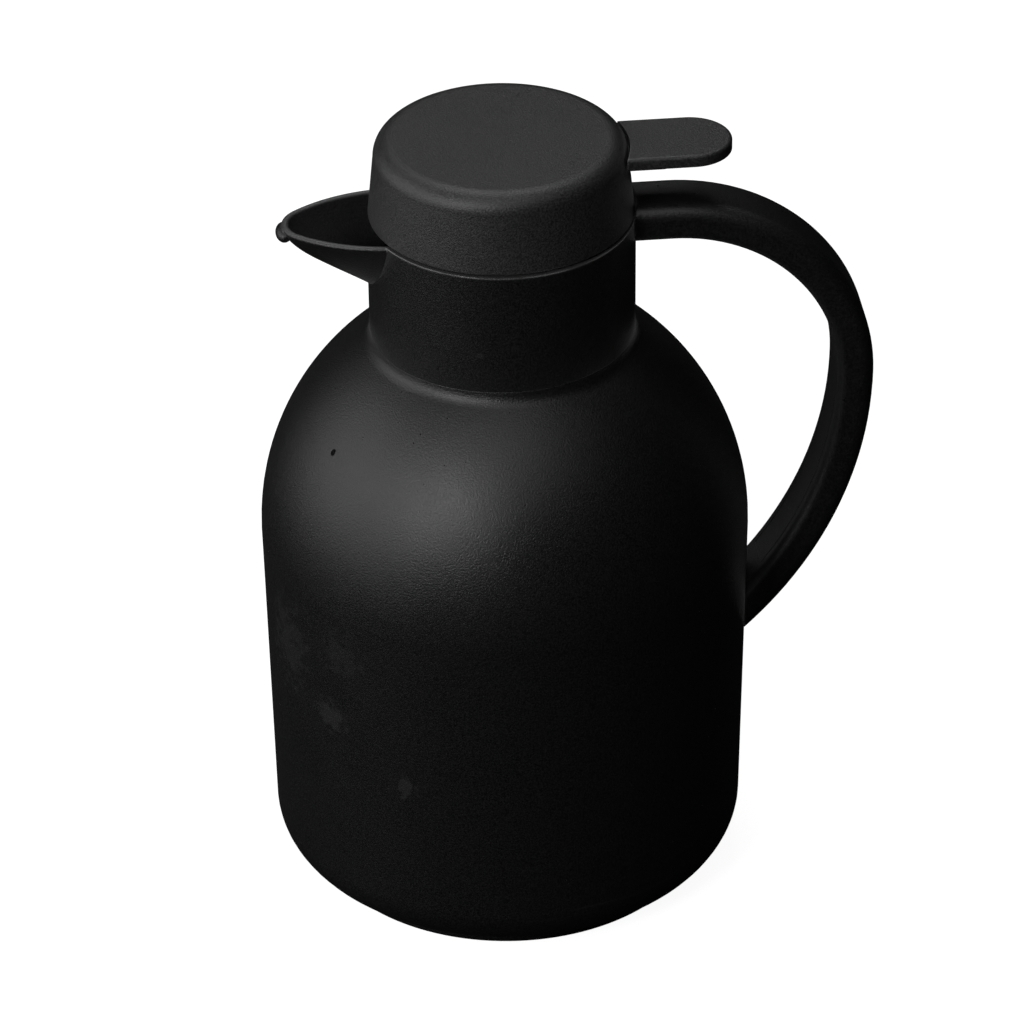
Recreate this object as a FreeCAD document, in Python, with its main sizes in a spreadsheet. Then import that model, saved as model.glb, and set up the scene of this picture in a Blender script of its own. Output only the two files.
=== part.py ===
import FreeCAD, Part
import math
import os
import re
import Sketcher

# Thermal carafe in millimetres: origin on the body axis in the standing plane, +Z up,
# handle towards +X and spout towards -X.

doc = FreeCAD.newDocument("thermal_carafe")
sheet = doc.addObject("Spreadsheet::Sheet", "Sizes")

SIZES = {
    # Body jacket
    "body_radius": (70.0, "outer radius where the shoulder starts"),
    "shoulder_z": (110.0, "height where the shoulder starts"),
    "body_taper": (1.4, "taper of the body's radius from shoulder to foot"),
    "foot_round": (14.0, "rounding of the jacket's lower edge"),
    "base_step": (3.0, "height of the jacket's lower edge above the standing plane"),
    "base_land": (1.8, "width of the flat land around the jacket's bottom opening"),
    "jacket_wall": (2.5, "jacket wall"),
    "neck_land": (3.0, "depth of the flat land's underside below the neck's foot"),
    # Neck collar
    "neck_radius": (37.4, "outer radius of the neck"),
    "neck_z": (171.8, "height where shoulder and neck would meet in a crease"),
    "neck_fillet": (5.0, "hollow rounding between shoulder and neck"),
    "neck_height": (38.7, "height of the neck"),
    "neck_wall": (4.0, "wall of the neck"),
    "bore_depth": (29.5, "depth of the neck's bore below the rim"),
    "mouth_floor": (3.0, "thickness of the collar's floor around the mouth"),
    "spigot_step": (4.4, "step from the neck in to the collar's spigot"),
    "spigot_wall": (4.0, "wall of the spigot"),
    "spigot_depth": (6.0, "length of the spigot"),
    # Spout
    "spout_half": (17.6, "half width of the spout's rim inside the neck"),
    "spout_length": (24.0, "reach of the rim's tip past the neck"),
    "spout_nose": (10.0, "nose radius of the rim in plan"),
    "spout_inset": (8.0, "depth inside the neck's face where the spout's sides begin to close"),
    "brow_depth": (5.0, "depth of the spout's steep brow under its rim"),
    "brow_step": (1.4, "fall of the spout's half width from its rim to its brow"),
    "brow_back": (2.8, "fall of the spout's reach from its rim to its brow"),
    "brow_nose": (7.6, "nose radius under the brow"),
    "cheek_depth": (12.0, "depth of the spout's full cheeks under its rim"),
    "cheek_step": (4.7, "fall of the spout's half width from its rim to its cheeks"),
    "cheek_back": (12.2, "fall of the spout's reach from its rim to its cheeks"),
    "cheek_nose": (5.6, "nose radius at the cheeks"),
    "keel_depth": (23.5, "depth of the keel's root below the rim"),
    "keel_half": (4.2, "half width of the keel's root"),
    "keel_lead": (0.6, "reach of the keel's root past the neck's bore"),
    "keel_nose": (2.5, "nose radius of the keel's root"),
    "keel_inset": (10.4, "depth inside the neck's face where the keel's sides begin to close"),
    "root_inset": (13.4, "depth inside the neck's face where the spout's blank begins"),
    "spout_wall": (2.0, "wall of the spout at its rim"),
    "drip_radius": (2.4, "radius of the drip nose at the tip"),
    "drip_half": (4.2, "half width of the drip nose"),
    "drip_inset": (1.0, "depth of the drip nose's centre inside the tip"),
    "drip_drop": (0.2, "depth of the drip nose's top below the rim"),
    # Handle
    "handle_rise": (2.9, "height of the handle's top above the rim"),
    "handle_width": (19.6, "width of the handle"),
    "handle_thick": (10.4, "thickness of the handle in its plane"),
    "handle_run": (9.6, "level run of the handle from the neck to its bend"),
    "finger_gap": (24.6, "gap for the fingers between body and handle"),
    "grip_radius": (119.0, "outer radius of the grip"),
    "grip_end_angle": (50.0, "angle of the grip's end inside the jacket, degrees below level"),
    "handle_round": (4.0, "rounding of the handle's outer edges"),
    "grip_round": (2.5, "rounding of the handle's inner edges"),
    "handle_wall": (2.4, "wall over the handle's hollow"),
    "cover_width": (11.0, "width of the inner cover strip"),
    "cover_thick": (2.0, "thickness of the inner cover strip"),
    "cover_ledge": (1.0, "width of the ledge under each edge of the cover"),
    "cover_lead": (2.0, "level run of the cover before the bend"),
    "cover_end_angle": (36.0, "angle where the cover ends, degrees below level"),
    "tenon_width": (10.0, "width of the handle's tenons"),
    "tenon_depth": (2.6, "depth of the upper tenon in the collar"),
    "tenon_height": (4.6, "height of the upper tenon"),
    "foot_tenon_depth": (5.0, "depth of the lower tenon behind the jacket's face"),
    "foot_tenon_height": (9.0, "height of the lower tenon"),
    "boss_wall": (3.0, "wall of the jacket's boss around the lower tenon"),
    "screw_radius": (1.75, "radius of the handle screw"),
    "screw_head_radius": (3.4, "radius of the handle screw's head"),
    "screw_head": (2.4, "height of the handle screw's head"),
    "screw_grip": (9.0, "length of the handle screw in the handle"),
    # Vacuum flask
    "flask_play": (0.8, "play of the flask in the jacket's bottom opening"),
    "neck_play": (2.0, "play of the flask's neck in the collar's spigot"),
    "glass": (1.6, "glass wall"),
    "vacuum_gap": (4.0, "gap between the flask's walls"),
    "neck_gap": (2.3, "gap between the flask's walls in its neck"),
    "flask_drop": (48.0, "distance from the flask's lip down to its shoulder"),
    "flask_corner": (18.0, "rounding of the flask's lower edge"),
    "flask_z": (14.0, "height of the flask's bottom"),
    "pip_radius": (4.0, "radius of the evacuation tip"),
    "pip_length": (4.0, "length of the evacuation tip"),
    "mouth_seal": (2.0, "thickness of the flask's mouth seal"),
    # Base
    "base_overhang": (2.9, "reach of the standing ring past the jacket's flat land"),
    "ring_width": (7.0, "width of the standing ring"),
    "base_recess": (1.2, "recess of the base cover inside its ring"),
    "base_floor": (2.6, "floor of the base cover"),
    "base_wall": (2.6, "wall of the base cover's threaded skirt"),
    "base_skirt": (9.0, "height of the threaded skirt"),
    "cushion_width": (12.0, "width of the cushion ring"),
    "cushion_overhang": (2.0, "reach of the cushion past the flask's flat bottom"),
    "cushion_height": (5.0, "height of the cushion ring"),
    # Closure
    "cap_gap": (0.7, "gap between the neck's rim and the cap"),
    "cap_step": (0.4, "step from the neck in to the cap's lower edge"),
    "cap_taper": (1.7, "taper of the cap's radius"),
    "cap_height": (22.8, "height of the cap"),
    "cap_round": (5.5, "rounding of the cap's top edge"),
    "cap_wall": (2.2, "cap wall"),
    "cap_edge": (0.4, "rounding of the cap's lower edge"),
    "thread_space": (1.2, "space for the screw thread around the stopper's plug"),
    "stopper_seal": (2.5, "thickness of the stopper's seal"),
    "seal_width": (7.0, "width of the stopper's seal"),
    "plug_height": (8.5, "height of the stopper's threaded plug"),
    "valve_floor": (3.5, "floor of the stopper around the valve port"),
    "port_radius": (9.0, "radius of the valve port"),
    "pour_gap": (6.4, "gap for the drink between cage and neck"),
    "cage_wall": (2.5, "wall of the cage"),
    "window_width": (13.0, "width of a pouring window"),
    "window_sill": (1.0, "height of a pouring window above the plug"),
    "window_head": (3.5, "height of the cage's top ring"),
    "plate_thick": (2.5, "thickness of the stopper's top plate"),
    "guide_radius": (4.2, "outer radius of the stem guide"),
    "guide_depth": (4.0, "length of the stem guide below the plate"),
    "locator": (2.0, "width and height of the plate's locating ring"),
    # Valve and lever
    "gasket": (1.6, "thickness of the valve gasket"),
    "gasket_width": (4.0, "width of the valve gasket"),
    "disc_thick": (3.0, "thickness of the valve disc"),
    "nose_depth": (4.0, "length of the valve's nose below its disc"),
    "stem_radius": (2.6, "radius of the valve stem"),
    "stem_cover": (2.4, "stem length above the lift pin's centre"),
    "lever_half": (11.7, "half width of the lever's thumb plate"),
    "lever_length": (27.3, "reach of the lever's end past the cap"),
    "lever_thick": (3.4, "thickness of the thumb plate"),
    "lever_drop": (3.3, "depth of the thumb plate below the cap's top"),
    "lever_gap": (0.45, "gap between thumb plate and cap"),
    "lever_edge": (1.0, "rounding of the thumb plate's upper edge"),
    "shank_width": (13.0, "width of the lever's shank"),
    "shank_depth": (3.0, "depth of the shank below the thumb plate"),
    "shank_run": (8.0, "run of the shank under the thumb plate"),
    "pivot_inset": (9.3, "depth of the lever's pin inside the cap's face"),
    "pivot_drop": (9.2, "depth of the lever's pin below the cap's top"),
    "pivot_boss": (3.3, "radius of the lever's boss"),
    "lever_pin": (1.5, "radius of the lever's pin"),
    "ear_thick": (2.5, "thickness of each ear"),
    "ear_radius": (4.0, "radius of each ear's rounded top"),
    "lift_drop": (4.0, "depth of the lift pin below the lever's pin"),
    "lift_pin": (1.1, "radius of the lift pin"),
    "prong": (2.6, "thickness of each prong of the lever's fork"),
    "prong_depth": (4.6, "height of each prong"),
    "prong_end": (3.6, "reach of the prongs past the lift pin"),
    "slot_play": (1.0, "play of the lift pin along its slot"),
    "slot_slack": (0.15, "play of the lift pin across its slot"),
    "lever_angle": (15.0, "travel of the lever in degrees"),
    "spring_radius": (6.2, "middle radius of the return spring"),
    "spring_wire": (0.5, "radius of the spring's wire"),
    # Fits
    "fit_gap": (0.2, "gap around pieces that are fixed together"),
    "move_gap": (0.4, "gap around pieces that move"),
    "pin_gap": (0.05, "radial gap of pins and stem in their holes"),
    "handle_gap": (0.15, "gap between the handle's ends and the body"),
}
SPRING_TURNS = 5
WINDOW_COUNT = 6

for row, (alias, (number, meaning)) in enumerate(SIZES.items(), start=1):
    sheet.set(f"A{row}", meaning)
    sheet.set(f"B{row}", str(number))
    sheet.setAlias(f"B{row}", alias)
doc.recompute()


# Sizes and places that follow from the sheet's sizes
WORKED_OUT = {
    "low_radius": "body_radius - body_taper",
    "foot_top": "base_step + foot_round",
    "base_opening": "low_radius - foot_round - base_land",
    "base_radius": "low_radius - foot_round + base_overhang",
    "shoulder_drop": "body_radius - neck_radius",
    "shoulder_arc": "(shoulder_drop^2 + (neck_z - shoulder_z)^2) / (2 * shoulder_drop)",
    "shoulder_x": "body_radius - shoulder_arc",
    "fillet_x": "neck_radius + neck_fillet",
    "fillet_z": "shoulder_z + sqrt((shoulder_arc + neck_fillet)^2 - (fillet_x - shoulder_x)^2)",
    "fillet_share": "shoulder_arc / (shoulder_arc + neck_fillet)",
    "rim_z": "neck_z + neck_height",
    "floor_z": "rim_z - bore_depth",
    "bore_radius": "neck_radius - neck_wall",
    "spigot_radius": "neck_radius - spigot_step",
    "spout_root": "neck_radius - root_inset",
    "spout_start": "neck_radius - spout_inset",
    "spout_reach": "neck_radius + spout_length",
    "brow_half": "spout_half - brow_step",
    "brow_reach": "spout_reach - brow_back",
    "cheek_half": "spout_half - cheek_step",
    "cheek_reach": "spout_reach - cheek_back",
    "keel_start": "neck_radius - keel_inset",
    "keel_reach": "bore_radius + keel_lead",
    "crest_round": "spout_wall * 2 / 5",
    "drip_reach": "spout_reach - drip_inset",
    "drip_z": "rim_z - drip_drop - drip_radius",
    "handle_top": "rim_z + handle_rise",
    "bend_start": "neck_radius + handle_run",
    "bend_radius": "body_radius + finger_gap + handle_thick - bend_start",
    "grip_x": "bend_start + bend_radius - grip_radius",
    "grip_z": "handle_top - bend_radius",
    "cover_start": "bend_start - cover_lead",
    "joint_z": "grip_z - sqrt((grip_radius - handle_thick / 2)^2 - (low_radius - grip_x)^2)",
    "boss_floor": "low_radius - foot_tenon_depth",
    "boss_face": "boss_floor - boss_wall",
    "lip_z": "floor_z - mouth_floor - mouth_seal",
    "flask_radius": "base_opening - flask_play",
    "flask_neck": "spigot_radius - spigot_wall - neck_play",
    "mouth_radius": "flask_neck - 2 * glass - neck_gap",
    "flask_shoulder": "lip_z - flask_drop",
    "cushion_radius": "flask_radius - flask_corner + cushion_overhang",
    "cap_radius": "neck_radius - cap_step",
    "cap_top_radius": "cap_radius - cap_taper",
    "cap_z": "rim_z + cap_gap",
    "cap_top": "cap_z + cap_height",
    "plate_top": "cap_z + plate_thick",
    "cage_radius": "bore_radius - pour_gap",
    "plug_radius": "bore_radius - thread_space",
    "plug_z": "floor_z + stopper_seal",
    "plug_top": "plug_z + plug_height",
    "seat_z": "plug_z + valve_floor",
    "disc_z": "seat_z + gasket",
    "disc_top": "disc_z + disc_thick",
    "pivot_x": "cap_top_radius - pivot_inset",
    "pivot_z": "cap_top - pivot_drop",
    "lift_z": "pivot_z - lift_drop",
    "head_z": "lift_z + stem_cover",
    "lever_top": "cap_top - lever_drop",
    "lever_z": "lever_top - lever_thick",
    "lever_reach": "cap_radius + lever_length",
    "concave": "cap_top_radius + lever_gap",
}


def bound(expression):
    """Write an expression of size names as one that other objects can use."""
    def in_sheet(match):
        word = match.group(0)
        if word in WORKED_OUT:
            return f"({bound(WORKED_OUT[word])})"
        return f"Sizes.{word}" if word in SIZES else word
    return re.sub(r"[a-z][a-z_]*", in_sheet, expression)


def size(expression):
    return float(sheet.evalExpression(bound(expression)))


def new_body(label):
    body = doc.addObject("PartDesign::Body", label)
    body.Label = label
    return body


def new_sketch(body, name, role, offset="0"):
    """Make a sketch on one of the body's own planes, moved along that plane's normal."""
    sketch = body.newObject("Sketcher::SketchObject", name)
    plane = next(item for item in body.Origin.OriginFeatures if item.Role == role)
    sketch.AttachmentSupport = (plane, [""])
    sketch.MapMode = "FlatFace"
    sketch.setExpression("AttachmentOffset.Base.z", bound(offset))
    return sketch


def arc_between(start, end, radius, turn):
    """Give the arc from start to end, the short way: turn 1 is counter-clockwise, -1 clockwise."""
    chord = end - start
    half = chord.Length / 2
    rise = math.sqrt(max(radius * radius - half * half, 0.0))
    left = FreeCAD.Vector(-chord.y, chord.x, 0).normalize()
    centre = start + chord * 0.5 + left * (rise * turn)
    first, last = (start, end) if turn > 0 else (end, start)
    angles = [math.atan2(point.y - centre.y, point.x - centre.x) for point in (first, last)]
    circle = Part.Circle(centre, FreeCAD.Vector(0, 0, 1), radius)
    return Part.ArcOfCircle(circle, angles[0], angles[1])


def outline(sketch, corners):
    """Draw a closed outline whose corners, and the radius of each arc, follow the sheet.

    A corner is (x, y) with a straight edge to the next one, or (x, y, radius, turn) with an arc.
    """
    points = [FreeCAD.Vector(size(corner[0]), size(corner[1]), 0) for corner in corners]
    ends = []
    for index, corner in enumerate(corners):
        start = points[index]
        end = points[(index + 1) % len(points)]
        if len(corner) == 2:
            edge = sketch.addGeometry(Part.LineSegment(start, end), False)
            ends.append((edge, 1, 2))
        else:
            turn = corner[3]
            edge = sketch.addGeometry(arc_between(start, end, size(corner[2]), turn), False)
            ends.append((edge, 1, 2) if turn > 0 else (edge, 2, 1))
    for index, (edge, first, last) in enumerate(ends):
        following = ends[(index + 1) % len(ends)]
        sketch.addConstraint(Sketcher.Constraint("Coincident", edge, last, following[0], following[1]))
    for index, corner in enumerate(corners):
        edge, first, last = ends[index]
        point = points[index]
        across = sketch.addConstraint(Sketcher.Constraint("DistanceX", -1, 1, edge, first, point.x))
        sketch.setExpression(f"Constraints[{across}]", bound(corner[0]))
        upward = sketch.addConstraint(Sketcher.Constraint("DistanceY", -1, 1, edge, first, point.y))
        sketch.setExpression(f"Constraints[{upward}]", bound(corner[1]))
        if len(corner) == 4:
            curve = sketch.addConstraint(Sketcher.Constraint("Radius", edge, size(corner[2])))
            sketch.setExpression(f"Constraints[{curve}]", bound(corner[2]))


def revolve(body, name, corners, cut=False):
    """Turn an outline of (radius, height) corners about the upright axis."""
    sketch = new_sketch(body, f"{name}_outline", "XZ_Plane")
    outline(sketch, corners)
    feature = body.newObject("PartDesign::Groove" if cut else "PartDesign::Revolution", name)
    feature.Profile = sketch
    feature.ReferenceAxis = (sketch, ["V_Axis"])
    feature.Angle = 360
    return feature


def pad_across(body, name, corners, width, cut=False):
    """Give an outline of (x, z) corners a width centred on the handle's plane."""
    sketch = new_sketch(body, f"{name}_outline", "XZ_Plane")
    outline(sketch, corners)
    feature = body.newObject("PartDesign::Pocket" if cut else "PartDesign::Pad", name)
    feature.Profile = sketch
    feature.SideType = "Symmetric"
    feature.setExpression("Length", bound(width))
    return feature


def block(body, name, low, high, cut=False):
    """Add or cut a box between two corners."""
    feature = body.newObject("PartDesign::SubtractiveBox" if cut else "PartDesign::AdditiveBox", name)
    for axis, side, start, end in zip("xyz", ("Length", "Width", "Height"), low, high):
        feature.setExpression(f"Placement.Base.{axis}", bound(start))
        feature.setExpression(side, bound(f"({end}) - ({start})"))
    return feature


DIRECTIONS = {"x": FreeCAD.Vector(1, 0, 0), "y": FreeCAD.Vector(0, 1, 0), "z": FreeCAD.Vector(0, 0, 1)}


def rod(body, name, direction, start, radius, length, cut=False):
    """Add or cut a cylinder that runs from start along x, y or z."""
    kind = "PartDesign::SubtractiveCylinder" if cut else "PartDesign::AdditiveCylinder"
    feature = body.newObject(kind, name)
    turn = FreeCAD.Rotation(DIRECTIONS["z"], DIRECTIONS[direction])
    feature.Placement = FreeCAD.Placement(FreeCAD.Vector(), turn)
    for axis, place in zip("xyz", start):
        feature.setExpression(f"Placement.Base.{axis}", bound(place))
    feature.setExpression("Radius", bound(radius))
    feature.setExpression("Height", bound(length))
    return feature


def fillet(body, name, radius, chosen):
    """Round the edges of the body's last feature that the test chooses."""
    doc.recompute()
    base = body.Tip
    names = [f"Edge{index}" for index, edge in enumerate(base.Shape.Edges, start=1) if chosen(edge)]
    feature = body.newObject("PartDesign::Fillet", name)
    feature.Base = (base, names)
    feature.setExpression("Radius", bound(radius))
    return feature


def ring(label, inner, outer, low, high):
    """Make a flat ring of its own."""
    body = new_body(label)
    revolve(body, f"{label}_ring", [(inner, low), (outer, low), (outer, high), (inner, high)])
    return body


def middle(edge):
    return edge.valueAt((edge.FirstParameter + edge.LastParameter) / 2)


def make_jacket():
    body = new_body("outer_jacket")
    land_hole = "spigot_radius + fit_gap"
    land_z = "neck_z - neck_land"
    land_end = f"shoulder_x + sqrt((shoulder_arc - jacket_wall)^2 - ({land_z} - shoulder_z)^2)"
    revolve(body, "jacket_shell", [
        ("base_opening", "base_step"),
        ("low_radius - foot_round", "base_step", "foot_round", 1),
        ("low_radius", "foot_top"),
        ("body_radius", "shoulder_z", "shoulder_arc", 1),
        ("shoulder_x + (fillet_x - shoulder_x) * fillet_share",
         "shoulder_z + (fillet_z - shoulder_z) * fillet_share", "neck_fillet", -1),
        ("neck_radius", "fillet_z"),
        (land_hole, "fillet_z"),
        (land_hole, land_z),
        (land_end, land_z, "shoulder_arc - jacket_wall", -1),
        ("body_radius - jacket_wall", "shoulder_z"),
        ("low_radius - jacket_wall", "foot_top", "foot_round - jacket_wall", -1),
        ("low_radius - foot_round", "base_step + jacket_wall"),
        ("base_opening", "base_step + jacket_wall"),
    ])
    half = "tenon_width / 2 + fit_gap"
    reach = "foot_tenon_height / 2 + fit_gap"
    block(body, "handle_boss",
          ("boss_face", f"-({half} + boss_wall)", f"joint_z - {reach} - boss_wall"),
          ("low_radius - jacket_wall / 2", f"{half} + boss_wall", f"joint_z + {reach} + boss_wall"))
    block(body, "handle_socket",
          ("boss_floor", f"-({half})", f"joint_z - ({reach})"),
          ("body_radius + jacket_wall", half, f"joint_z + {reach}"), cut=True)
    rod(body, "handle_screw_hole", "x", ("boss_face - fit_gap", "0", "joint_z"),
        "screw_radius + fit_gap", "boss_wall + 2 * fit_gap", cut=True)
    return body


def spout_section(body, name, height, half, start, nose, tip):
    """Draw one level section of the spout: parallel sides, then arcs that close in a round nose."""
    sketch = new_sketch(body, name, "XY_Plane", height)
    run = f"({tip} - {nose} - {start})"
    side = f"(({run}^2 + {half}^2 - {nose}^2) / (2 * ({half} - {nose})))"
    stretch = f"({side} / ({side} - {nose}))"
    join_x = f"-({start} + {run} * {stretch})"
    join_y = f"({side} - {half}) * ({stretch} - 1)"
    outline(sketch, [
        ("-spout_root", half),
        (f"-{start}", half, side, 1),
        (join_x, join_y, nose, 1),
        (join_x, f"-({join_y})", side, 1),
        (f"-{start}", f"-{half}"),
        ("-spout_root", f"-{half}"),
    ])
    return sketch


def spout_loft(body, name, kind, rim, brow, cheek, keel):
    """Loft the spout's blank or its channel through level sections, from its rim down to its keel."""
    loft = body.newObject(kind, name)
    loft.Profile = spout_section(body, f"{name}_rim", *rim)
    loft.Sections = [
        spout_section(body, f"{name}_brow", *brow),
        spout_section(body, f"{name}_cheek", *cheek),
        spout_section(body, f"{name}_keel", *keel),
    ]
    return loft


def make_collar():
    body = new_body("neck_collar")
    revolve(body, "collar_ring", [
        ("spigot_radius - spigot_wall", "neck_z - spigot_depth"),
        ("spigot_radius", "neck_z - spigot_depth"),
        ("spigot_radius", "fillet_z"),
        ("neck_radius", "fillet_z"),
        ("neck_radius", "rim_z"),
        ("mouth_radius", "rim_z"),
        ("mouth_radius", "floor_z - mouth_floor"),
        ("spigot_radius - spigot_wall", "floor_z - mouth_floor"),
    ])
    brow_z = "rim_z - brow_depth"
    cheek_z = "rim_z - cheek_depth"
    keel_z = "rim_z - keel_depth"
    spout_loft(body, "spout_beak", "PartDesign::AdditiveLoft",
               ("rim_z", "spout_half", "spout_start", "spout_nose", "spout_reach"),
               (brow_z, "brow_half", "spout_start", "brow_nose", "brow_reach"),
               (cheek_z, "cheek_half", "spout_start", "cheek_nose", "cheek_reach"),
               (keel_z, "keel_half", "keel_start", "keel_nose", "keel_reach"))
    rim = size("rim_z")
    outside = size("neck_radius + crest_round")

    def spout_crest(edge):
        point = middle(edge)
        level = abs(point.z - rim) < 1e-3 and edge.BoundBox.ZLength < 1e-3
        return level and math.hypot(point.x, point.y) > outside
    fillet(body, "crest_outside", "crest_round", spout_crest)
    drip = body.newObject("PartDesign::AdditiveEllipsoid", "drip_nose")
    for side, radius in (("Radius1", "drip_radius"), ("Radius2", "drip_radius"), ("Radius3", "drip_half")):
        drip.setExpression(side, bound(radius))
    drip.setExpression("Placement.Base.x", bound("-drip_reach"))
    drip.setExpression("Placement.Base.z", bound("drip_z"))
    revolve(body, "neck_bore", [
        ("0", "floor_z"),
        ("bore_radius", "floor_z"),
        ("bore_radius", "rim_z"),
        ("0", "rim_z"),
    ], cut=True)
    spout_loft(body, "spout_channel", "PartDesign::SubtractiveLoft",
               ("rim_z", "(spout_half - spout_wall)", "spout_start", "(spout_nose - spout_wall)",
                "(spout_reach - spout_wall)"),
               (brow_z, "(brow_half - spout_wall)", "spout_start", "(brow_nose - spout_wall * 3 / 4)",
                "(brow_reach - spout_wall * 3 / 2)"),
               (cheek_z, "(cheek_half - spout_wall)", "spout_start", "(cheek_nose - spout_wall * 3 / 4)",
                "(cheek_reach - spout_wall * 3 / 2)"),
               (f"{keel_z} + spout_wall * 5 / 4", "(keel_half - spout_wall / 2)", "keel_start",
                "(keel_nose - spout_wall / 4)", "keel_reach"))
    fillet(body, "crest_inside", "crest_round", spout_crest)

    half = "tenon_width / 2 + fit_gap"
    tenon_z = "(handle_top - handle_thick / 2)"
    block(body, "tenon_socket",
          ("neck_radius - tenon_depth", f"-({half})", f"{tenon_z} - tenon_height / 2 - fit_gap"),
          ("neck_radius + tenon_depth", half, f"{tenon_z} + tenon_height / 2 + fit_gap"), cut=True)
    return body


def handle_band(low, high, start, end):
    """Give the outline of a band along the handle, between two heights above its inner face."""
    inner = f"(({low}) - handle_thick)"
    outer = f"(({high}) - handle_thick)"
    bend_in = f"(bend_radius + {inner})"
    bend_out = f"(bend_radius + {outer})"
    grip_in = f"(grip_radius + {inner})"
    grip_out = f"(grip_radius + {outer})"
    return [
        (start, f"handle_top + {inner}"),
        ("bend_start", f"handle_top + {inner}", bend_in, -1),
        (f"bend_start + {bend_in}", "grip_z", grip_in, -1),
        (f"grip_x + {grip_in} * cos({end})", f"grip_z - {grip_in} * sin({end})"),
        (f"grip_x + {grip_out} * cos({end})", f"grip_z - {grip_out} * sin({end})", grip_out, 1),
        (f"bend_start + {bend_out}", "grip_z", bend_out, 1),
        ("bend_start", f"handle_top + {outer}"),
        (start, f"handle_top + {outer}"),
    ]


def depth_in_handle(point):
    """Give a point's distance inside the handle's outer face."""
    bend_start = size("bend_start")
    grip_z = size("grip_z")
    if point.x < bend_start:
        return size("handle_top") - point.z
    if point.z > grip_z:
        return size("bend_radius") - math.hypot(point.x - bend_start, point.z - grip_z)
    return size("grip_radius") - math.hypot(point.x - size("grip_x"), point.z - grip_z)


def long_edges(depth):
    """Choose the handle's side edges at one depth inside its outer face."""
    side = size("handle_width / 2")
    def chosen(edge):
        ends = [vertex.Point for vertex in edge.Vertexes]
        on_side = all(abs(abs(point.y) - side) < 1e-3 for point in ends)
        return on_side and all(abs(depth_in_handle(point) - depth) < 1e-2 for point in ends)
    return chosen


def make_handle():
    body = new_body("handle_shell")
    pad_across(body, "handle_bow", handle_band("0", "handle_thick", "bore_radius", "grip_end_angle"),
               "handle_width")
    fillet(body, "outer_edges", "handle_round", long_edges(0.0))
    fillet(body, "inner_edges", "grip_round", long_edges(size("handle_thick")))
    revolve(body, "body_clearance", [
        ("0", "base_step"),
        ("low_radius + handle_gap", "foot_top"),
        ("body_radius + handle_gap", "shoulder_z"),
        ("neck_radius + handle_gap", "neck_z"),
        ("neck_radius + handle_gap", "handle_top + handle_thick"),
        ("0", "handle_top + handle_thick"),
    ], cut=True)
    tenon_z = "(handle_top - handle_thick / 2)"
    block(body, "upper_tenon",
          ("neck_radius - tenon_depth", "-tenon_width / 2", f"{tenon_z} - tenon_height / 2"),
          ("neck_radius + handle_wall", "tenon_width / 2", f"{tenon_z} + tenon_height / 2"))
    block(body, "lower_tenon",
          ("boss_floor", "-tenon_width / 2", "joint_z - foot_tenon_height / 2"),
          ("body_radius + fit_gap", "tenon_width / 2", "joint_z + foot_tenon_height / 2"))
    pad_across(body, "cover_recess",
               handle_band("-grip_round", "cover_thick + fit_gap / 2", "cover_start", "cover_end_angle"),
               "cover_width + 2 * fit_gap", cut=True)
    pad_across(body, "handle_hollow",
               handle_band("cover_thick / 2", "handle_thick - handle_wall",
                           "cover_start + cover_ledge", "cover_end_angle - cover_ledge"),
               "cover_width - 2 * cover_ledge", cut=True)
    rod(body, "screw_pilot", "x", ("boss_floor - fit_gap", "0", "joint_z"),
        "screw_radius + pin_gap", "screw_grip + fit_gap", cut=True)
    return body


def make_handle_cover():
    body = new_body("handle_inner_cover")
    pad_across(body, "cover_strip", handle_band("0", "cover_thick", "cover_start", "cover_end_angle"),
               "cover_width")
    return body


def make_handle_screw():
    body = new_body("handle_screw")
    rod(body, "screw_head", "x", ("boss_face - screw_head", "0", "joint_z"),
        "screw_head_radius", "screw_head")
    rod(body, "screw_shank", "x", ("boss_face", "0", "joint_z"),
        "screw_radius", "boss_wall + screw_grip - fit_gap")
    return body


def make_flask_outer():
    body = new_body("flask_outer_wall")
    arc = "(flask_radius - flask_neck)"
    revolve(body, "outer_bottle", [
        ("0", "flask_z"),
        ("flask_radius - flask_corner", "flask_z", "flask_corner", 1),
        ("flask_radius", "flask_z + flask_corner"),
        ("flask_radius", "flask_shoulder", arc, 1),
        ("flask_neck", f"flask_shoulder + {arc}"),
        ("flask_neck", "lip_z - glass"),
        ("flask_neck - glass", "lip_z - glass"),
        ("flask_neck - glass", f"flask_shoulder + {arc} - glass"),
        ("flask_neck", f"flask_shoulder + {arc} - glass", f"{arc} - glass", -1),
        ("flask_radius - glass", "flask_shoulder"),
        ("flask_radius - glass", "flask_z + flask_corner", "flask_corner - glass", -1),
        ("flask_radius - flask_corner", "flask_z + glass"),
        ("0", "flask_z + glass"),
    ])
    rod(body, "evacuation_tip", "z", ("0", "0", "flask_z - pip_length"),
        "pip_radius", "pip_length + glass / 2")
    return body


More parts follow.
